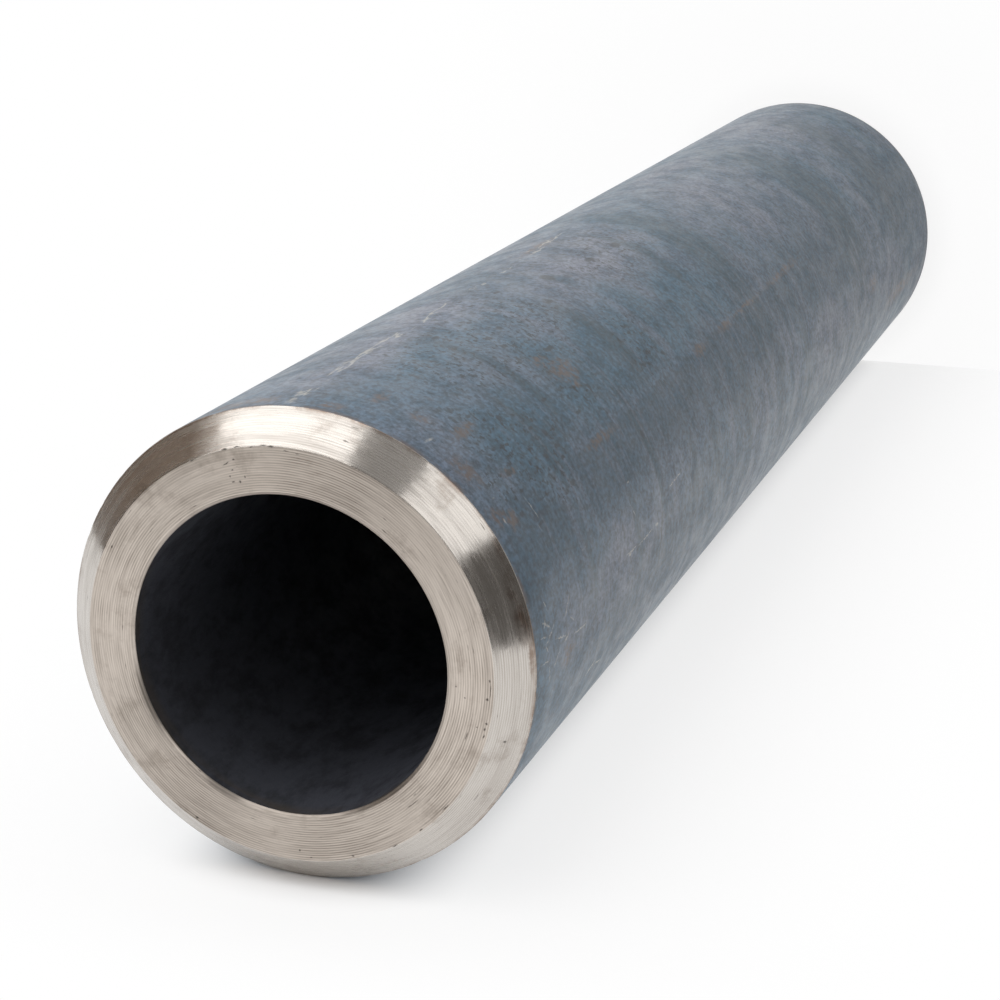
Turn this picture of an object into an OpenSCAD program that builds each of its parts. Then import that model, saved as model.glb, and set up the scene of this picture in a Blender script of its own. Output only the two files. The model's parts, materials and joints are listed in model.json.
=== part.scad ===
/* [Pipe] */
// Outside diameter of the pipe
outer_d = 76.1; // [60:0.1:140]
// Thickness of the wall
wall = 12.5; // [11:0.1:20]
// Length of the cut piece, from end face to end face
length = 378; // [100:1:1200]

/* [Machined ends] */
// Width of the outer bevel, measured across the end face
bevel_w = 5; // [1:0.1:8]
// Angle of the outer bevel, measured from the end face
bevel_angle = 45; // [20:0.5:60]
// Size of the deburring chamfer at each mouth of the bore, at 45 degrees
mouth_chamfer = 0.6; // [0.2:0.1:1.2]

/* [Hidden] */
outer_r = outer_d / 2;
bore_r = outer_r - wall;
// The flat of each end face runs from the mouth of the bore to the foot of the bevel
land_inner_r = bore_r + mouth_chamfer;
land_outer_r = outer_r - bevel_w;
bevel_h = bevel_w * tan(bevel_angle);
$fn = 180;

// Half of the lengthwise section through the wall, with the bore on the left and both
// ends faced, bevelled outside and deburred inside
module wall_section() {
    polygon([
        [bore_r, mouth_chamfer],
        [land_inner_r, 0],
        [land_outer_r, 0],
        [outer_r, bevel_h],
        [outer_r, length - bevel_h],
        [land_outer_r, length],
        [land_inner_r, length],
        [bore_r, length - mouth_chamfer]
    ]);
}

// The rolled tube, standing on its lower end face with its axis on Z
module pipe() {
    color("slategray")
        rotate_extrude()
            wall_section();
}

pipe();
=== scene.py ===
import json
import math
import random

import bmesh
import bpy
from mathutils import Matrix, Vector, noise


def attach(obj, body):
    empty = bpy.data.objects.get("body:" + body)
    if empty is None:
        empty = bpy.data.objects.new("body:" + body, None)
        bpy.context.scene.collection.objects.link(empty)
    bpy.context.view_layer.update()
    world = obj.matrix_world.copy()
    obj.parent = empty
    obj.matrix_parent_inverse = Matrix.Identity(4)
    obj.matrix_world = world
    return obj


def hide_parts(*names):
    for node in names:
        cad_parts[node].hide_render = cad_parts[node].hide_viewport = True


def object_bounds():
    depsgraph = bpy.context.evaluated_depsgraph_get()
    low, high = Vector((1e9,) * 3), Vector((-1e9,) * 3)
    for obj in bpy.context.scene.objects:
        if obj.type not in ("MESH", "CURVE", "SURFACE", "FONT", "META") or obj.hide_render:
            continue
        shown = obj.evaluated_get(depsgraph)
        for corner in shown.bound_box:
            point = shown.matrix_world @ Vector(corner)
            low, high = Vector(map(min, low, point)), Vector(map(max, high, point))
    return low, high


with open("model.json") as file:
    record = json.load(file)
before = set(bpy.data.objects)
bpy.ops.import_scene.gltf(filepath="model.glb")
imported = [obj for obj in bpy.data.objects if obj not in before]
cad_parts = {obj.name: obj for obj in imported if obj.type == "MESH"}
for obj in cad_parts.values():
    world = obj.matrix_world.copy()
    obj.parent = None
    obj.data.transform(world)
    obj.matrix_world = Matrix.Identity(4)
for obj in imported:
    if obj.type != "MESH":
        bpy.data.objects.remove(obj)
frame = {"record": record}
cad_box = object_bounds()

MM = 0.001

# Sizes of the pipe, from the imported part. It stands on its lower end with its axis on Z.
mounts = {mount["name"]: mount["dims"] for mount in frame["record"]["mounts"]}
OUTER_R = mounts["outside"]["r_mm"] * MM
BORE_R = mounts["bore"]["r_mm"] * MM
LENGTH = cad_box[1].z
BEVEL = (LENGTH - mounts["outside"]["length_mm"] * MM) / 2
MOUTH_CHAMFER = (LENGTH - mounts["bore"]["length_mm"] * MM) / 2
LAND_INNER_R = BORE_R + MOUTH_CHAMFER
LAND_OUTER_R = OUTER_R - BEVEL

# The mesh: sides round the pipe, and rings along each zone of the wall
SIDES = 300
OUTSIDE_RINGS = 42
BORE_RINGS = 12
FEED_MARKS = 18
FACED_RINGS = FEED_MARKS * 3
EDGE_BREAK = 0.13 * MM

# Relief in the mesh, all of it cut inwards
WAVE_DEPTH = 0.07 * MM
LAND_GROOVE = 0.011 * MM
BEVEL_GROOVE = 0.003 * MM
NICK_DEPTH = 0.16 * MM

# The texture square, in metres of surface
TEXTURE_SIDE = 374 * MM
TEXTURE_GAP = 2 * MM
DISC_SCALE = 1.5
DISC_ROOM = 123 * MM

# The photograph's camera. Its picture has -Y upwards, because the pipe lies there on its +Y side.
CAMERA_AT = Vector((-0.13689, -0.12538, 0.68098))
CAMERA_AIM = Vector((-0.00188, 0.00200, 0.28353))
CAMERA_LENS = 84.45
SENSOR = 36
PICTURE_UP = Vector((0, -1, 0))

# How far from the pipe a painted white glow covers the paper's real shading and so fades the shadow: metres from,
# metres to, share from, share to
UPRIGHT_GLOW = ((0.004, 0.027, 0.0, 0.80), (0.02, 0.10, 0.0, 0.20))
FLOOR_GLOW = ((-0.004, 0.010, 0.84, 0.95), (0.01, 0.10, 0.0, 0.05))
# How much faster the painted white glow closes in on the shadow past the pipe's ends than beside it
END_SHADOW_SHARE = 2.4
UPRIGHT_COLOUR = (0.93, 0.93, 0.935, 1)
FLOOR_COLOUR = (0.82, 0.82, 0.825, 1)
# Azimuth of the side on which reflections show the floor dim
DIM_SIDE = -150


def wall_section(bm):
    """Draws half of the lengthwise section, with its corners broken, as open rings to turn."""
    corners = (
        (BORE_R, MOUTH_CHAMFER),
        (LAND_INNER_R, 0),
        (LAND_OUTER_R, 0),
        (OUTER_R, BEVEL),
        (OUTER_R, LENGTH - BEVEL),
        (LAND_OUTER_R, LENGTH),
        (LAND_INNER_R, LENGTH),
        (BORE_R, LENGTH - MOUTH_CHAMFER),
    )
    bm.faces.new([bm.verts.new((r, 0, z)) for r, z in corners])
    bmesh.ops.bevel(
        bm, geom=bm.verts[:], offset=EDGE_BREAK, segments=2, profile=0.5, affect="VERTICES", material=-1
    )
    bmesh.ops.delete(bm, geom=bm.faces[:], context="FACES_ONLY")


def divide_zones(bm):
    """Cuts the long edges of the section into the rings that carry the relief."""
    zones = {"outside": [], "bore": [], "faced": []}
    for edge in bm.edges:
        middle = (edge.verts[0].co + edge.verts[1].co) / 2
        if edge.calc_length() > LENGTH / 2:
            zones["bore" if middle.x < LAND_INNER_R else "outside"].append(edge)
        elif edge.calc_length() > BEVEL:
            zones["faced"].append(edge)
    bmesh.ops.subdivide_edges(bm, edges=zones["outside"], cuts=OUTSIDE_RINGS - 1)
    bmesh.ops.subdivide_edges(bm, edges=zones["bore"], cuts=BORE_RINGS - 1)
    bmesh.ops.subdivide_edges(bm, edges=zones["faced"], cuts=FACED_RINGS - 1)


def groove_depths():
    """Gives the depth of each ring that the tool left across a faced zone, from 0 to 1."""
    draw = random.Random(7)
    depths = []
    for ring in range(FACED_RINGS + 1):
        feed_mark = (0.0, 1.0, 0.55)[ring % 3]
        depths.append(feed_mark * draw.uniform(0.5, 1.0) + draw.uniform(0.0, 0.25))
    return depths


def relief(place, grooves):
    """Gives how far a point of the wall is cut inwards."""
    radius = math.hypot(place.x, place.y)
    end = min(place.z, LENGTH - place.z)
    wave = noise.noise(Vector((place.x * 30, place.y * 30, place.z * 14)))
    depth = WAVE_DEPTH * (0.5 + 0.5 * wave) if end > BEVEL else 0.0
    if LAND_INNER_R < radius < OUTER_R - EDGE_BREAK and end < BEVEL:
        on_land = radius < LAND_OUTER_R
        start = LAND_INNER_R if on_land else LAND_OUTER_R
        width = (LAND_OUTER_R - LAND_INNER_R) if on_land else BEVEL
        ring = round((radius - start) / width * FACED_RINGS)
        depth += (LAND_GROOVE if on_land else BEVEL_GROOVE) * grooves[ring]
    nearest_edge = min(
        math.hypot(radius - OUTER_R, end - BEVEL),
        math.hypot(radius - LAND_OUTER_R, end) * 2.2,
    )
    if nearest_edge < 1.2 * MM:
        chip = noise.noise(place * 380) + 0.6 * noise.noise(place * 900)
        closeness = 1 - nearest_edge / (1.2 * MM)
        depth += NICK_DEPTH * closeness * max(0.0, chip - 0.42)
    return depth


def cut_relief(bm):
    grooves = groove_depths()
    bm.normal_update()
    for vertex in bm.verts:
        vertex.co -= vertex.normal * relief(vertex.co, grooves)


def paint_zones(bm):
    """Gives each face its finish: 0 rolled outside, 1 faced land, 2 turned bevel, 3 bore."""
    for face in bm.faces:
        centre = face.calc_center_median()
        radius = math.hypot(centre.x, centre.y)
        end = min(centre.z, LENGTH - centre.z)
        face.smooth = True
        if end > BEVEL:
            face.material_index = 0 if radius > LAND_OUTER_R else 3
        elif radius < LAND_INNER_R and end > MOUTH_CHAMFER:
            face.material_index = 3
        else:
            face.material_index = 1 if radius < LAND_OUTER_R else 2


def lay_out(bm):
    """Lays the whole surface out flat on one square of texture: the outside as a strip on the left, and on
    the right the two end faces as discs and the bore as a strip. Every strip is cut open on the +Y side."""
    layer = bm.loops.layers.uv.new("OFBake")
    column = 2 * math.pi * OUTER_R + 2 * TEXTURE_GAP
    bore_start = 2 * DISC_ROOM + TEXTURE_GAP
    for face in bm.faces:
        middle = face.calc_center_median()
        facing = math.atan2(middle.x, -middle.y)
        upper = middle.z > LENGTH / 2
        for loop in face.loops:
            place = loop.vert.co
            radius = math.hypot(place.x, place.y)
            turn = math.atan2(place.x, -place.y)
            turn = facing + (turn - facing + math.pi) % math.tau - math.pi
            if face.material_index == 0:
                spot = (TEXTURE_GAP + (turn + math.pi) * OUTER_R, TEXTURE_GAP + place.z - BEVEL)
            elif face.material_index == 3:
                spot = (column + place.z / 3, bore_start + (turn + math.pi) * BORE_R * 0.75)
            else:
                slope = (radius + max(0.0, radius - LAND_OUTER_R) * (math.sqrt(2) - 1)) * DISC_SCALE
                centre = DISC_ROOM * (1.5 if upper else 0.5)
                spot = (column + DISC_ROOM / 2 + slope * math.sin(turn), centre - slope * math.cos(turn))
            loop[layer].uv = (spot[0] / TEXTURE_SIDE, spot[1] / TEXTURE_SIDE)


def make_pipe(finishes):
    bm = bmesh.new()
    wall_section(bm)
    divide_zones(bm)
    bmesh.ops.spin(
        bm, geom=bm.verts[:] + bm.edges[:], cent=(0, 0, 0), axis=(0, 0, 1), angle=math.tau,
        steps=SIDES, use_merge=True
    )
    bmesh.ops.remove_doubles(bm, verts=bm.verts, dist=0.001 * MM)
    bmesh.ops.recalc_face_normals(bm, faces=bm.faces)
    cut_relief(bm)
    paint_zones(bm)
    lay_out(bm)
    mesh = bpy.data.meshes.new("steel_pipe")
    bm.to_mesh(mesh)
    bm.free()
    for finish in finishes:
        mesh.materials.append(finish)
    mesh.set_sharp_from_angle(angle=math.radians(35))
    pipe = bpy.data.objects.new("steel_pipe", mesh)
    bpy.context.scene.collection.objects.link(pipe)
    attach(pipe, "root")
    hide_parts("pipe")
    print("steel_pipe triangles:", sum(len(face.vertices) - 2 for face in mesh.polygons))


def arc(azimuth):
    """Gives how far round the outside an azimuth lies from the picture's top line, in metres."""
    return math.radians(azimuth + 90) * OUTER_R


class Finish:
    """A material in the making. Each method adds a node and gives back its output."""

    def __init__(self, name):
        self.material = bpy.data.materials.new(name)
        self.material.use_nodes = True
        self.tree = self.material.node_tree
        self.shader = self.tree.nodes["Principled BSDF"]
        self.position = self.node("TexCoord", {}).outputs["Object"]

    def node(self, kind, inputs, **settings):
        made = self.tree.nodes.new("ShaderNode" + kind)
        for name, value in settings.items():
            setattr(made, name, value)
        for name, value in inputs.items():
            self.fill(made.inputs[name], value)
        return made

    def fill(self, socket, value):
        if isinstance(value, bpy.types.NodeSocket):
            self.tree.links.new(value, socket)
        else:
            socket.default_value = value

    def maths(self, operation, first, second=0.0, third=0.0):
        inputs = {0: first, 1: second, 2: third}
        return self.node("Math", inputs, operation=operation).outputs[0]

    def ramp(self, value, low, high, lowest=0.0, highest=1.0):
        """Turns a value that goes from low to high into one that goes softly from lowest to highest."""
        inputs = {0: value, 1: low, 2: high, 3: lowest, 4: highest}
        return self.node("MapRange", inputs, interpolation_type="SMOOTHSTEP").outputs[0]

    def noise(self, place, stretch, detail=3.0, roughness=0.5, distortion=0.0):
        """Gives a noise from 0 to 1. The stretch is how many features lie in a metre along each axis."""
        scaled = self.node("VectorMath", {0: place, 1: stretch}, operation="MULTIPLY").outputs[0]
        inputs = {"Vector": scaled, "Scale": 1.0, "Detail": detail, "Roughness": roughness,
                  "Distortion": distortion}
        return self.node("TexNoise", inputs).outputs[0]

    def blend(self, share, first, second, mode="MIX"):
        made = self.node("Mix", {0: share}, data_type="RGBA", blend_type=mode)
        self.fill(made.inputs[6], first)
        self.fill(made.inputs[7], second)
        return made.outputs[2]

    def sheet(self):
        """Gives the outside unrolled: metres round from the picture's top line, metres below the end."""
        axes = self.node("SeparateXYZ", {0: self.position}).outputs
        turn = self.maths("ARCTAN2", axes[0], self.maths("MULTIPLY", axes[1], -1.0))
        inputs = {0: self.maths("MULTIPLY", turn, OUTER_R), 1: self.maths("SUBTRACT", LENGTH, axes[2])}
        return self.node("CombineXYZ", inputs).outputs[0]

    def face_sheet(self, radius):
        """Gives an end face unrolled: metres round as above, and metres in from the outside."""
        axes = self.node("SeparateXYZ", {0: self.position}).outputs
        turn = self.maths("ARCTAN2", axes[0], self.maths("MULTIPLY", axes[1], -1.0))
        inputs = {0: self.maths("MULTIPLY", turn, OUTER_R), 1: self.maths("SUBTRACT", OUTER_R, radius)}
        return self.node("CombineXYZ", inputs).outputs[0]

    def toward(self, azimuth):
        """Gives 1 where a place lies at this azimuth from the axis, falling to -1 on the other side."""
        flat = self.node("VectorMath", {0: self.position, 1: (1, 1, 0)}, operation="MULTIPLY").outputs[0]
        heading = self.node("VectorMath", {0: flat}, operation="NORMALIZE").outputs[0]
        aimed = (math.cos(math.radians(azimuth)), math.sin(math.radians(azimuth)), 0)
        return self.node("VectorMath", {0: heading, 1: aimed}, operation="DOT_PRODUCT").outputs[1]

    def frayed(self, place, size, amount):
        """Shifts each point of an unrolled place by a small random step, so that marks lose their outline."""
        inputs = {"Vector": self.position, "Scale": 1 / size, "Detail": 3.0}
        wobble = self.node("TexNoise", inputs).outputs[1]
        inputs = {0: wobble, 1: (amount, amount, 0.0), 2: place}
        shifted = self.node("VectorMath", inputs, operation="MULTIPLY_ADD").outputs[0]
        half = (amount / 2, amount / 2, 0.0)
        return self.node("VectorMath", {0: shifted, 1: half}, operation="SUBTRACT").outputs[0]

    def marks(self, place, rows):
        """Gives 1 in the middle of each mark and 0 outside it. A row is azimuth in degrees, mm below the
        upper end or in from the outside, mm wide round the pipe, mm long, and slant in degrees."""
        total = 0.0
        for azimuth, below, width, length, slant in rows:
            centre = (arc(azimuth), below * MM, 0.0)
            size = (width * MM / 2, length * MM / 2, 1.0)
            turn = (0.0, 0.0, math.radians(slant))
            inputs = {"Vector": place, "Location": centre, "Rotation": turn, "Scale": size}
            moved = self.node("Mapping", inputs, vector_type="TEXTURE").outputs[0]
            spot = self.node("TexGradient", {0: moved}, gradient_type="SPHERICAL").outputs[1]
            total = spot if total == 0.0 else self.maths("MAXIMUM", total, spot)
        return total

    def bump(self, height, distance):
        inputs = {"Height": height, "Distance": distance, "Strength": 1.0}
        return self.node("Bump", inputs).outputs[0]


# Marks on the outside. Each row is azimuth in degrees, mm below the upper end, mm wide round
# the pipe, mm long, and slant in degrees.
FINE_SCRATCHES = (
    (-147, 21.3, 0.35, 5.6, 82), (-151.5, 20.2, 0.3, 2.4, 70), (-174.8, 57, 0.3, 9, 2), (-175.2, 66, 0.35, 13, -1),
    (-175, 73, 0.8, 2.6, 10), (-175.3, 56, 0.7, 2.0, 0), (-168.8, 88, 0.45, 14, -3), (-171, 11, 0.5, 5, 30),
    (-174, 12, 0.4, 8, -24), (-177, 17, 0.45, 7, 14), (-172, 21, 0.5, 6, -40), (-179, 9, 0.35, 6, 6),
    (-145.5, 10.5, 2.0, 0.8, 0), (-139.5, 12, 0.5, 1.2, 0), (-166, 61, 0.3, 4, 60), (-159, 62.5, 0.4, 1.6, 0),
    (-163.5, 34, 0.3, 3.0, 0), (-181, 15, 0.3, 5, -30), (-170, 10.5, 0.4, 3, -50), (-173, 9, 0.3, 4, 12),
    (-176, 10, 0.4, 3, 50), (-178.5, 20, 0.4, 4, -18), (-175.5, 23, 0.3, 3, 35), (-183, 11.5, 0.35, 4, 75),
    (-167, 12, 0.3, 3, 65), (-180, 27, 0.3, 9, 4), (-196.5, 38, 0.6, 6, -14), (-197.5, 43, 0.5, 5, 10),
    (-120, 11, 0.7, 4.5, 3),
)
SCUFFED_AREAS = (
    (-87.5, 14, 2.6, 20, 0), (-86.4, 30, 2.4, 16, 0), (-85.6, 42, 2.8, 26, 0), (-86, 52, 2.2, 22, 0),
    (-86.5, 66, 2.0, 22, 0), (-85, 78, 1.4, 30, 0), (-85.5, 102, 1.1, 40, 0), (-85, 127, 1.3, 40, 0),
    (-83, 145, 2.4, 34, 0),
)
DARK_PITS = (
    (-105.3, 70, 1.9, 3.0, 0), (-98, 68, 1.2, 2.8, 0), (-140, 37, 1.5, 2.4, 20), (-126, 34, 1.9, 2.8, 0),
    (-135.5, 42.5, 2.2, 2.2, 0), (-139.8, 42.8, 1.1, 2.8, 0), (-149, 40, 1.3, 4.2, 0), (-146.4, 17, 1.2, 2.4, 0),
    (-137.4, 22, 1.4, 4.0, 0), (-142.4, 21.5, 0.9, 2.4, 0), (-151, 21.6, 0.9, 3.2, 0), (-132.5, 39.5, 1.0, 2.6, 0),
    (-113.5, 43, 1.0, 2.6, 0), (-103, 51, 1.5, 2.6, 0), (-152, 78, 2.4, 2.4, 0), (-99, 110, 4.6, 5.4, 0),
    (-102, 131, 2.4, 6.0, 0), (-102.5, 148, 3.0, 7.0, 0), (-136.8, 59, 1.0, 3.4, 0), (-119, 72, 1.5, 6.0, 0),
    (-147, 28, 0.3, 8.0, 0), (-111, 62, 1.6, 3.8, 0), (-96, 55, 1.4, 3.4, 0), (-178, 76, 14, 1.1, 16),
    (-93, 92, 1.3, 4, 0), (-107, 95, 1.4, 5, 0), (-121, 27, 0.9, 2.2, 0), (-129, 52, 1.0, 3, 0),
)
BROWN_STAINS = (
    (-143, 9, 4.5, 9, 20), (-146, 13, 4.0, 7, -20), (-114, 16.5, 4.4, 6, 0), (-123, 22, 3.6, 14, 0),
    (-126, 68, 8.0, 18, 0), (-130.5, 67, 3.2, 5, 0), (-120.5, 64, 4.0, 10, 0), (-103.5, 18, 3.0, 10, 0),
    (-137.5, 22, 2.2, 8, 0), (-145.5, 60, 2.6, 26, 0), (-183, 21, 6.0, 9, 0), (-82.5, 138, 4.0, 34, 0),
    (-145.2, 128, 3.6, 12, 0), (-144.8, 149, 3.2, 16, 0), (-144.4, 168, 1.5, 40, 0),
    (-144.2, 204, 2.6, 50, 0), (-80, 9, 9.0, 7, 0), (-97, 8, 8.0, 5, 0), (-173, 285, 7, 16, 0),
    (-188, 330, 8, 70, 0), (-71, 9, 16, 8, 0), (-131, 11, 10, 9, 0),
)
BLUE_FIELDS = (
    (-130, 40, 26, 46, 0), (-130, 80, 24, 110, 0), (-132, 130, 20, 110, 0), (-112, 172, 60, 22, 8),
    (-128, 272, 50, 26, 0), (-118, 354, 30, 20, 0),
)
# Pale lilac fields of the scale. Those near -80 and from -172 to -180, on the top-left and right edges, are partly
# painted sheen.
LILAC_AND_SHEEN_FIELDS = (
    (-88, 50, 18, 110, 0), (-98, 125, 26, 90, 0), (-104, 215, 50, 60, 0), (-80, 235, 14, 80, 0),
    (-172, 228, 16, 34, 0),
    (-178, 50, 16, 90, 0), (-180, 240, 18, 110, 0), (-180, 315, 20, 40, 0), (-102, 322, 40, 60, 0),
)
SLATE_FIELDS = (
    (-155, 20, 20, 50, 0), (-155, 150, 20, 120, 0), (-152, 240, 30, 120, 0), (-148, 340, 40, 90, 0),
    (-103, 112, 12, 12, 0), (-190, 90, 26, 200, 0), (-190, 240, 28, 240, 0),
)
# Areas with many small dark pocks
POCKED_AREAS = (
    (-134, 34, 30, 44, 0), (-126, 66, 26, 26, 0), (-104, 52, 30, 60, 0), (-106, 80, 30, 36, 0),
    (-100, 140, 30, 60, 0), (-130, 102, 26, 26, 0), (-144, 14, 14, 14, 0),
)
# Bands that go round the pipe, dark and pale
DARK_BANDS = (
    (-126, 173, 84, 26, 7), (-134, 270, 96, 32, 0), (-136, 280, 60, 14, 0), (-128, 330, 80, 30, 0),
    (-172, 100, 30, 6, 0), (-170, 118, 26, 8, 0), (-172, 146, 30, 10, 0), (-176, 176, 40, 11, 0),
    (-176, 204, 36, 9, 0), (-124, 94, 36, 12, 0), (-132, 38, 30, 5, 0), (-118, 52, 40, 6, 0),
    (-160, 78, 44, 5, 3), (-172, 62, 24, 5, 0), (-112, 150, 44, 7, 4), (-170, 36, 20, 6, 0),
)
PALE_BANDS = (
    (-104, 247, 50, 18, 6), (-120, 299, 70, 20, 0), (-122, 188, 40, 6, 6), (-172, 50, 22, 7, 0),
    (-174, 130, 24, 8, 0), (-176, 160, 26, 10, 0), (-176, 190, 28, 9, 0), (-110, 80, 40, 7, 0),
    (-112, 128, 40, 7, 0), (-174, 86, 24, 6, 0), (-130, 112, 30, 7, 0),
)
# Where the sharp lengthwise edge of the slate area runs: azimuth, and mm below the upper end from and to
SLATE_EDGE = (-143.6, 30, 300)


def slate_strip(finish, place):
    """A dark strip with a sharp edge on its blue side, along most of the pipe."""
    azimuth, top, foot = SLATE_EDGE
    across, down = finish.node("SeparateXYZ", {0: place}).outputs[:2]
    share = finish.ramp(across, arc(azimuth - 1.8), arc(azimuth), 1.0, 0.0)
    share = finish.maths("MULTIPLY", share, finish.ramp(across, arc(-167), arc(-154)))
    share = finish.maths("MULTIPLY", share, finish.ramp(down, top * MM, (top + 25) * MM))
    return finish.maths("MULTIPLY", share, finish.ramp(down, (foot - 90) * MM, foot * MM, 1.0, 0.0))


def rolled_scale():
    """The outside: blue-grey mill scale with lilac fields, some of them partly painted sheen on its edges,
    round-going streaks, pits, stains and scratches.
    """
    finish = Finish("rolled_scale")
    place = finish.position
    sheet = finish.sheet()
    cloudy = finish.frayed(sheet, 16 * MM, 22 * MM)
    banded = finish.frayed(sheet, 12 * MM, 9 * MM)
    ragged = finish.frayed(sheet, 1.6 * MM, 2.6 * MM)
    torn = finish.frayed(sheet, 0.6 * MM, 0.8 * MM)

    height = finish.node("SeparateXYZ", {0: place}).outputs[2]
    helix_turn = finish.maths("MULTIPLY", height, math.tau / 0.085)
    helical = finish.node(
        "VectorRotate", {"Vector": place, "Angle": helix_turn}, rotation_type="Z_AXIS"
    ).outputs[0]

    fields = finish.noise(place, (26, 26, 15), detail=4, roughness=0.55, distortion=0.6)
    bands = finish.noise(helical, (22, 22, 4), detail=2)
    streaks = finish.noise(place, (34, 34, 420), detail=4, roughness=0.6)
    islands = finish.noise(place, (95, 95, 50), detail=5, roughness=0.72)
    mottle = finish.noise(place, (165, 165, 150), detail=5, roughness=0.72)
    grain = finish.noise(place, (1200, 1200, 900), detail=2, roughness=0.6)
    specks = finish.noise(place, (900, 900, 900), detail=3, roughness=0.6)
    threads = finish.noise(place, (520, 520, 110), detail=2)

    lilac = (0.130, 0.151, 0.205, 1)
    blue = (0.032, 0.098, 0.155, 1)
    slate = (0.014, 0.056, 0.096, 1)
    night = (0.009, 0.048, 0.078, 1)
    rust = (0.118, 0.082, 0.067, 1)
    bare = (0.50, 0.48, 0.43, 1)
    soot = (0.010, 0.020, 0.029, 1)
    # Lilac fields lift the colour towards lilac; at the edges they are partly painted sheen
    leaning = finish.maths("MULTIPLY_ADD", finish.marks(cloudy, LILAC_AND_SHEEN_FIELDS), 0.24, finish.maths(
        "MULTIPLY_ADD", fields, 0.6, 0.16))
    leaning = finish.maths("MULTIPLY_ADD", finish.marks(cloudy, BLUE_FIELDS), -0.3, leaning)
    colour = finish.blend(finish.ramp(leaning, 0.3, 0.68), blue, lilac)
    dark_share = finish.maths("MAXIMUM", finish.ramp(finish.marks(cloudy, SLATE_FIELDS), 0.0, 0.7, 0.0, 0.75),
                              finish.ramp(bands, 0.42, 0.68, 0.0, 0.25))
    dark_share = finish.maths("MAXIMUM", dark_share, finish.maths("MULTIPLY", slate_strip(finish, ragged), 0.8))
    colour = finish.blend(finish.ramp(finish.marks(banded, PALE_BANDS), 0.0, 0.8, 0.0, 0.5), colour, lilac)
    colour = finish.blend(dark_share, colour, slate)
    colour = finish.blend(finish.ramp(finish.marks(banded, DARK_BANDS), 0.0, 0.7, 0.0, 0.75), colour, night)
    colour = finish.blend(finish.ramp(islands, 0.50, 0.56, 0.0, 0.3), colour, slate)
    colour = finish.blend(finish.ramp(mottle, 0.46, 0.68, 0.0, 0.42), colour, slate)
    drawn = finish.ramp(finish.toward(-175), 0.55, 0.9, 0.3, 1.0)
    low_streaks = finish.maths("MULTIPLY", drawn, finish.ramp(streaks, 0.26, 0.46, 0.6, 0.0))
    high_streaks = finish.maths("MULTIPLY", drawn, finish.ramp(streaks, 0.50, 0.74, 0.0, 0.5))
    colour = finish.blend(low_streaks, colour, slate)
    colour = finish.blend(high_streaks, colour, lilac)
    flecks = finish.maths("MULTIPLY", finish.ramp(specks, 0.56, 0.66), finish.ramp(islands, 0.42, 0.58, 0.15, 0.55))
    pocked = finish.ramp(finish.marks(cloudy, POCKED_AREAS), 0.0, 0.6, 0.0, 0.9)
    pocks = finish.maths("MULTIPLY", finish.ramp(specks, 0.56, 0.61), pocked)
    colour = finish.blend(finish.maths("MAXIMUM", flecks, pocks), colour, soot)
    grain = finish.ramp(grain, 0.25, 0.75, 0.1, 0.9)
    grey = finish.node("CombineColor", {0: grain, 1: grain, 2: grain}).outputs[0]
    colour = finish.blend(0.55, colour, grey, mode="OVERLAY")

    stains = finish.ramp(finish.marks(ragged, BROWN_STAINS), 0.05, 0.8, 0.0, 0.85)
    stains = finish.maths("MULTIPLY", stains, finish.ramp(specks, 0.40, 0.58, 0.15, 1.0))
    from_middle = finish.maths("ABSOLUTE", finish.maths("SUBTRACT", height, LENGTH / 2))
    at_rim = finish.ramp(from_middle, LENGTH / 2 - BEVEL - 1.6 * MM, LENGTH / 2 - BEVEL)
    at_rim = finish.maths("MULTIPLY", at_rim, finish.ramp(mottle, 0.42, 0.58, 0.1, 0.8))
    colour = finish.blend(finish.maths("MAXIMUM", stains, at_rim), colour, rust)
    pits = finish.ramp(finish.marks(torn, DARK_PITS), 0.12, 0.55)
    colour = finish.blend(finish.maths("MULTIPLY", pits, 0.8), colour, soot)

    veins = finish.ramp(finish.maths("ABSOLUTE", finish.maths("SUBTRACT", threads, 0.5)), 0.0, 0.06, 1.0, 0.0)
    scuffs = finish.maths("MULTIPLY", finish.ramp(finish.marks(ragged, SCUFFED_AREAS), 0.0, 0.6, 0.0, 0.65), veins)
    scratches = finish.ramp(finish.marks(torn, FINE_SCRATCHES), 0.05, 0.6)
    scratches = finish.maths("MULTIPLY", scratches, finish.ramp(specks, 0.38, 0.55, 0.1, 0.6))
    colour = finish.blend(finish.maths("MAXIMUM", scratches, scuffs), colour, bare)

    finish.fill(finish.shader.inputs["Base Color"], colour)
    finish.fill(finish.shader.inputs["Roughness"], finish.ramp(mottle, 0.3, 0.7, 0.30, 0.44))
    finish.shader.inputs["Specular IOR Level"].default_value = 0.5
    relief_height = finish.maths("MULTIPLY_ADD", mottle, 0.5, finish.maths("MULTIPLY", streaks, 0.5))
    finish.fill(finish.shader.inputs["Normal"], finish.bump(relief_height, 0.12 * MM))
    return finish.material
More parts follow.
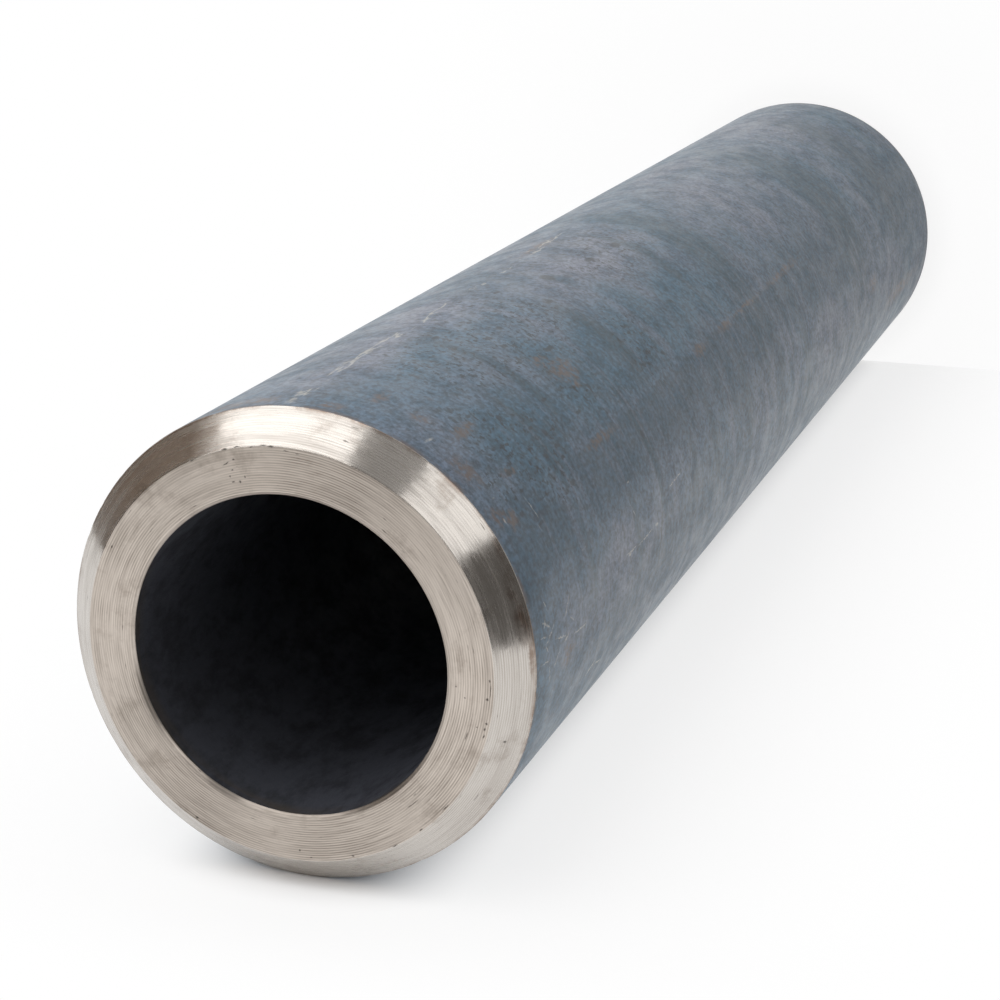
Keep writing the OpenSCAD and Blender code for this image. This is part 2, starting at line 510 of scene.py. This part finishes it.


# Small pits and nicks of the end face. Each row is azimuth in degrees, mm in from the outside,
# mm wide round the pipe, mm long, and slant in degrees.
FACE_PITS = (
    (-74.1, 4.9, 1.8, 0.4, 0), (-77.6, 4.85, 2.0, 0.35, 0), (-81.7, 5.05, 1.2, 0.25, 0), (-85.1, 4.85, 2.2, 0.35, 0),
    (-87.3, 5.05, 2.0, 0.5, 0), (-91.5, 5.5, 1.8, 0.25, 0), (-94.7, 5.7, 1.2, 0.22, 0), (-73.4, 7.05, 2.2, 0.35, 15),
    (-75.9, 6.65, 0.9, 0.5, 0), (-74.8, 8.15, 0.8, 0.45, 0), (-73.4, 9.05, 0.6, 0.4, 0), (-74, 9.95, 1.2, 0.45, 0),
    (-76.2, 10.1, 0.8, 0.8, 0), (-78.2, 9.5, 0.5, 0.7, 0), (-64.1, 5.05, 1.2, 0.3, 0), (-27.3, 5.9, 1.2, 0.4, 0),
    (-184.5, 5.95, 0.9, 0.7, 0), (-179.3, 5.65, 1.0, 0.5, 0), (-182, 5.5, 4.0, 0.25, 0), (-191.3, 5.55, 0.8, 0.6, 0),
    (-193, 5.6, 1.0, 0.6, 0), (-195, 5.5, 1.4, 0.35, 0), (-196.2, 2.7, 0.8, 0.6, 0), (-182.2, 10.9, 0.6, 0.4, 0),
    (-185.4, 9.4, 0.4, 0.4, 0), (-193.1, 6.9, 0.5, 0.4, 0), (-219.2, 5.3, 2.8, 0.35, 0), (-229.4, 5.2, 1.2, 0.4, 0),
    (-238.7, 5.0, 2.0, 0.3, 0), (-251.7, 5.5, 0.9, 0.4, 0), (-267.5, 6.7, 0.6, 0.5, 0), (-264.2, 5.6, 0.7, 0.4, 0),
    (60.6, 5.5, 1.2, 0.6, 0),
)

# Brown patches of the bevel at its outer rim, in rows as above
FACE_STAINS = (
    (-151, 0.5, 9, 1.5, 0), (-159, 0.8, 12, 2.6, 0), (-167, 1.0, 9, 2.8, 0), (-176, 0.5, 9, 1.0, 0),
)


def turned_steel(name, pale, start, width, contrast, smoothest, roughest):
    """The faced land or the turned bevel: bare steel with the tool's fine rings, from a radius outwards."""
    finish = Finish(name)
    flat = finish.node("VectorMath", {0: finish.position, 1: (1, 1, 0)}, operation="MULTIPLY").outputs[0]
    radius = finish.node("VectorMath", {0: flat}, operation="LENGTH").outputs[1]
    heading = finish.node("VectorMath", {0: flat}, operation="NORMALIZE").outputs[0]
    reach = finish.node("CombineXYZ", {2: radius}).outputs[0]
    turned = finish.node("VectorMath", {0: heading, 1: reach}, operation="ADD").outputs[0]

    lines = finish.noise(turned, (5, 5, 5200), detail=3, roughness=0.65)
    broad = finish.noise(turned, (1.3, 1.3, 800), detail=3, roughness=0.6)
    smudge = finish.noise(finish.position, (150, 150, 150), detail=6, roughness=0.68)
    skips = finish.noise(turned, (9, 9, 2600), detail=2, roughness=0.5)
    patches = finish.noise(finish.position, (60, 60, 60), detail=2)
    wobble = finish.noise(turned, (14, 14, 1500), detail=2)
    phase = finish.maths("MULTIPLY", finish.maths("SUBTRACT", radius, start), math.tau * FEED_MARKS / width)
    feed = finish.maths("MULTIPLY_ADD", finish.maths("COSINE", phase), -0.5, 0.5)
    feed = finish.maths("MULTIPLY", feed, finish.ramp(lines, 0.3, 0.62, 0.4, 1.0))
    feed = finish.maths("MULTIPLY", feed, finish.ramp(patches, 0.35, 0.6, 0.35 * contrast, contrast))

    dark = (0.27, 0.225, 0.19, 1)
    colour = finish.blend(feed, pale, dark)
    colour = finish.blend(finish.ramp(lines, 0.45, 0.75, 0.0, 0.4 * contrast), colour, dark)
    colour = finish.blend(finish.ramp(broad, 0.45, 0.75, 0.0, 0.16), colour, dark)
    colour = finish.blend(finish.ramp(smudge, 0.52, 0.74, 0.0, 0.5), colour, (0.27, 0.22, 0.18, 1))
    colour = finish.blend(finish.ramp(skips, 0.70, 0.78, 0.0, 0.7), colour, (0.08, 0.068, 0.06, 1))
    upper = finish.node("SeparateXYZ", {0: finish.position}).outputs[2]
    upper = finish.maths("GREATER_THAN", upper, LENGTH / 2)
    face = finish.frayed(finish.face_sheet(radius), 0.5 * MM, 0.35 * MM)
    at_rim = finish.ramp(radius, OUTER_R - 0.7 * MM, OUTER_R)
    stained = finish.maths("MULTIPLY", finish.ramp(finish.marks(face, FACE_STAINS), 0.0, 0.7), upper)
    at_rim = finish.maths("MULTIPLY", finish.maths("MAXIMUM", at_rim, stained), finish.ramp(smudge, 0.40, 0.60, 0.1, 0.7))
    colour = finish.blend(at_rim, colour, (0.19, 0.115, 0.075, 1))
    pits = finish.maths("MULTIPLY", finish.ramp(finish.marks(face, FACE_PITS), 0.1, 0.9), upper)
    colour = finish.blend(finish.maths("MULTIPLY", pits, 0.85), colour, (0.04, 0.034, 0.03, 1))

    finish.fill(finish.shader.inputs["Base Color"], colour)
    finish.shader.inputs["Metallic"].default_value = 1.0
    uneven = finish.maths("MULTIPLY", finish.maths("ADD", broad, lines), 0.5)
    finish.fill(finish.shader.inputs["Roughness"], finish.ramp(uneven, 0.36, 0.64, smoothest, roughest))
    finish.shader.inputs["Anisotropic"].default_value = 0.9
    finish.shader.inputs["Anisotropic Rotation"].default_value = 0.25
    tangent = finish.node("Tangent", {}, direction_type="RADIAL", axis="Z").outputs[0]
    finish.fill(finish.shader.inputs["Tangent"], tangent)
    height_map = finish.maths("MULTIPLY_ADD", wobble, 4.0, lines)
    finish.fill(finish.shader.inputs["Normal"], finish.bump(height_map, 0.008 * contrast * MM))
    return finish.material


def bore_scale_and_painted_shade():
    """The bore: rough dark scale, with a little brown just inside each mouth. Its near-black colour is partly
    painted shade of the deep bore.
    """
    finish = Finish("bore_scale_and_painted_shade")
    mottle = finish.noise(finish.position, (260, 260, 140), detail=6, roughness=0.68)
    streaks = finish.noise(finish.position, (60, 60, 500), detail=3, roughness=0.6)
    height = finish.node("SeparateXYZ", {0: finish.position}).outputs[2]
    middle = finish.maths("ABSOLUTE", finish.maths("SUBTRACT", height, LENGTH / 2))
    mouth = finish.ramp(middle, LENGTH / 2 - 4 * MM, LENGTH / 2 - 0.8 * MM)
    # Two near-black tones: the scale's own dark colour, made darker still as painted shade of the bore's depth
    colour = finish.blend(finish.ramp(mottle, 0.4, 0.68), (0.046, 0.049, 0.061, 1), (0.019, 0.020, 0.026, 1))
    worn = finish.maths("MULTIPLY", mouth, finish.ramp(streaks, 0.4, 0.6))
    colour = finish.blend(worn, colour, (0.052, 0.043, 0.036, 1))
    finish.fill(finish.shader.inputs["Base Color"], colour)
    finish.fill(finish.shader.inputs["Roughness"], finish.ramp(mottle, 0.3, 0.7, 0.5, 0.68))
    height_map = finish.maths("MULTIPLY_ADD", mottle, 0.7, finish.maths("MULTIPLY", streaks, 0.3))
    finish.fill(finish.shader.inputs["Normal"], finish.bump(height_map, 0.25 * MM))
    return finish.material


def aim(thing, place, target, up):
    """Puts a camera or a lamp at a place, turned to a target, with a side of it upwards."""
    ahead = (target - place).normalized()
    side = ahead.cross(up).normalized()
    turn = Matrix((side, side.cross(ahead), -ahead)).transposed()
    thing.matrix_world = Matrix.Translation(place) @ turn.to_4x4()


def make_camera():
    data = bpy.data.cameras.new("camera")
    data.lens = CAMERA_LENS
    data.sensor_width = SENSOR
    data.clip_start = 0.01
    data.clip_end = 100
    camera = bpy.data.objects.new("camera", data)
    bpy.context.scene.collection.objects.link(camera)
    aim(camera, CAMERA_AT, CAMERA_AIM, PICTURE_UP)
    bpy.context.scene.camera = camera


def make_lamp(name, heading, distance, size, up, brightness, reflected=True, lighting=True):
    """A soft lamp that faces the pipe. Brightness 1 shows as white. It can be left out of the reflections,
    or be in nothing but them."""
    width, height = size
    data = bpy.data.lights.new(name, "AREA")
    data.shape = "RECTANGLE"
    data.size = width
    data.size_y = height
    data.energy = brightness * math.pi * width * height
    lamp = bpy.data.objects.new(name, data)
    lamp.visible_camera = False
    lamp.visible_glossy = reflected
    lamp.visible_diffuse = lighting
    bpy.context.scene.collection.objects.link(lamp)
    target = Vector((0, 0, LENGTH * 0.7))
    aim(lamp, target + Vector(heading).normalized() * distance, target, Vector(up))


def seen_share(finish, mirrored):
    """How much of its white a surface shows: all to the camera and through glass, a share in reflections."""
    path = finish.node("LightPath", {}).outputs
    share = finish.maths("MULTIPLY", path["Is Glossy Ray"], mirrored)
    share = finish.maths("MAXIMUM", share, path["Is Camera Ray"])
    return finish.maths("MAXIMUM", share, path["Is Transmission Ray"])


def paper(name, colour, reach, mirrored, close_glow, wide_glow):
    """Pale paper. It takes the pipe's real shadow where they meet, and a painted white glow fades that shadow
    to pure white within its reach. The share of the white that reflections show is given for each place."""
    finish = Finish(name)
    tree = finish.tree
    tree.nodes.remove(finish.shader)
    away = reach(finish)
    # Painted white glow, shown to the camera and in reflections, which covers the real shading away from the pipe
    glow = finish.maths("ADD", finish.ramp(away, *close_glow), finish.ramp(away, *wide_glow))
    diffuse = finish.node("BsdfDiffuse", {0: colour}).outputs[0]
    white = finish.node("Emission", {0: (1, 1, 1, 1), 1: 1.0}).outputs[0]
    share = finish.maths("MULTIPLY", glow, seen_share(finish, mirrored(finish)))
    face = finish.node("MixShader", {0: share, 1: diffuse, 2: white}).outputs[0]
    clear = finish.node("BsdfTransparent", {}).outputs[0]
    behind = finish.node("NewGeometry", {}).outputs["Backfacing"]
    whole = finish.node("MixShader", {0: behind, 1: face, 2: clear}).outputs[0]
    output = tree.nodes["Material Output"]
    tree.links.new(whole, output.inputs["Surface"])
    return finish.material


def far_white(name, mirrored):
    """The white of the studio far behind. It shows white, and gives no light."""
    finish = Finish(name)
    finish.tree.nodes.remove(finish.shader)
    white = finish.node("Emission", {0: (1, 1, 1, 1), 1: seen_share(finish, mirrored)}).outputs[0]
    finish.tree.links.new(white, finish.tree.nodes["Material Output"].inputs["Surface"])
    return finish.material


def dark_paper():
    finish = Finish("dark_paper")
    finish.shader.inputs["Base Color"].default_value = (0.235, 0.175, 0.13, 1)
    finish.shader.inputs["Roughness"].default_value = 0.9
    return finish.material


def from_foot(finish):
    """Metres from the round foot of the pipe, across the floor."""
    flat = finish.node("VectorMath", {0: finish.position, 1: (1, 1, 0)}, operation="MULTIPLY").outputs[0]
    radius = finish.node("VectorMath", {0: flat}, operation="LENGTH").outputs[1]
    return finish.maths("SUBTRACT", radius, OUTER_R)


def past_dim_side(finish):
    """The share of white that reflections show of the floor: little of it to the picture's right."""
    return finish.ramp(finish.toward(DIM_SIDE), 0.26, 0.9, 1.0, 0.35)


def all_white(finish):
    return 1.0


def from_touching_line(finish):
    """Metres from the line in which the pipe touches the upright sheet."""
    axes = finish.node("SeparateXYZ", {0: finish.position}).outputs
    past_middle = finish.maths("ABSOLUTE", finish.maths("SUBTRACT", axes[2], LENGTH / 2))
    past_end = finish.maths("MAXIMUM", finish.maths("SUBTRACT", past_middle, LENGTH / 2 - BEVEL), 0.0)
    past_end = finish.maths("MULTIPLY", past_end, END_SHADOW_SHARE)
    both = finish.node("CombineXYZ", {0: axes[0], 1: past_end}).outputs[0]
    return finish.node("VectorMath", {0: both}, operation="LENGTH").outputs[1]


def make_sheet(name, centre, facing, size, material):
    bm = bmesh.new()
    bmesh.ops.create_grid(bm, x_segments=1, y_segments=1, size=1)
    bmesh.ops.scale(bm, vec=(size[0] / 2, size[1] / 2, 1), verts=bm.verts)
    turn = Vector(facing).to_track_quat("Z", "Y").to_matrix().to_4x4()
    bmesh.ops.transform(bm, matrix=Matrix.Translation(centre) @ turn, verts=bm.verts)
    return put_up(name, bm, material)


def make_ring(name, radius, height, material):
    """A wide upright ring round the floor, which faces inwards."""
    bm = bmesh.new()
    bmesh.ops.create_cone(bm, cap_ends=False, segments=96, radius1=radius, radius2=radius, depth=height)
    bmesh.ops.recalc_face_normals(bm, faces=bm.faces)
    bmesh.ops.reverse_faces(bm, faces=bm.faces)
    bmesh.ops.translate(bm, vec=(0, 0, height / 2), verts=bm.verts)
    return put_up(name, bm, material)


def put_up(name, bm, material):
    """Makes a finished shape into an object in the scene, with its material."""
    mesh = bpy.data.meshes.new(name)
    bm.to_mesh(mesh)
    bm.free()
    mesh.materials.append(material)
    piece = bpy.data.objects.new(name, mesh)
    bpy.context.scene.collection.objects.link(piece)
    return piece


def make_stage():
    """The floor that the pipe stands on, an upright sheet that it touches, which the picture shows as the
    table under it, a ring that closes the view at the floor's far edge, and a dark card that only
    reflections show."""
    make_sheet("floor", (0, 0, 0), (0, 0, 1), (24, 24), paper("floor_paper", FLOOR_COLOUR, from_foot, past_dim_side, *FLOOR_GLOW))
    upright = paper("upright_paper", UPRIGHT_COLOUR, from_touching_line, all_white, *UPRIGHT_GLOW)
    backdrop = make_sheet("backdrop", (0.2, OUTER_R, 0), (0, -1, 0), (0.96, 4), upright)
    backdrop.visible_shadow = False
    horizon = make_ring("horizon", 11.9, 3.4, far_white("far_white", 0.12))
    horizon.visible_diffuse = False
    horizon.visible_shadow = False
    card = make_sheet("dark_card", (1, -0.4, 0.35), (-1, 0, 0), (1.5, 0.72), dark_paper())
    card.visible_camera = False
    card.visible_diffuse = False
    card.visible_shadow = False


def make_world():
    world = bpy.data.worlds.new("studio")
    world.use_nodes = True
    world.node_tree.nodes["Background"].inputs["Color"].default_value = (1, 0.95, 0.9, 1)
    world.node_tree.nodes["Background"].inputs["Strength"].default_value = 0.12
    bpy.context.scene.world = world


make_camera()
land_width = LAND_OUTER_R - LAND_INNER_R
faced_land = turned_steel("faced_land", (0.71, 0.635, 0.565, 1), LAND_INNER_R, land_width, 0.8, 0.38, 0.46)
turned_bevel = turned_steel("turned_bevel", (0.63, 0.593, 0.551, 1), LAND_OUTER_R, BEVEL, 0.42, 0.17, 0.32)
make_pipe((rolled_scale(), faced_land, turned_bevel, bore_scale_and_painted_shade()))
make_stage()
make_lamp("top_softbox", (0.385, -0.853, 0.353), 1.3, (1.2, 1.3), (0.15, 0.45, 0.88), 1.8)
make_lamp("side_strip", (-0.59, -0.61, 0.52), 1.3, (0.68, 1.1), (0.37, 0.37, 0.85), 1.25, lighting=False)
make_lamp("gap_glow", (-0.22, -0.84, 0.49), 1.4, (0.5, 1.1), (0.1, 0.45, 0.88), 0.28, lighting=False)
make_lamp("side_fill", (-0.58, -0.62, 0.52), 1.4, (0.62, 1.1), (0.37, 0.37, 0.85), 0.55, reflected=False)
make_lamp("top_fill", (0.35, -0.75, 0.75), 1.9, (2.6, 2.6), (0, 0, 1), 1.0, reflected=False)
make_lamp("back_fill", (-0.1, 0.85, 0.4), 1.6, (2.4, 1.4), (0, 0, 1), 0.6)
make_world()
bpy.context.scene.view_settings.view_transform = "Standard"
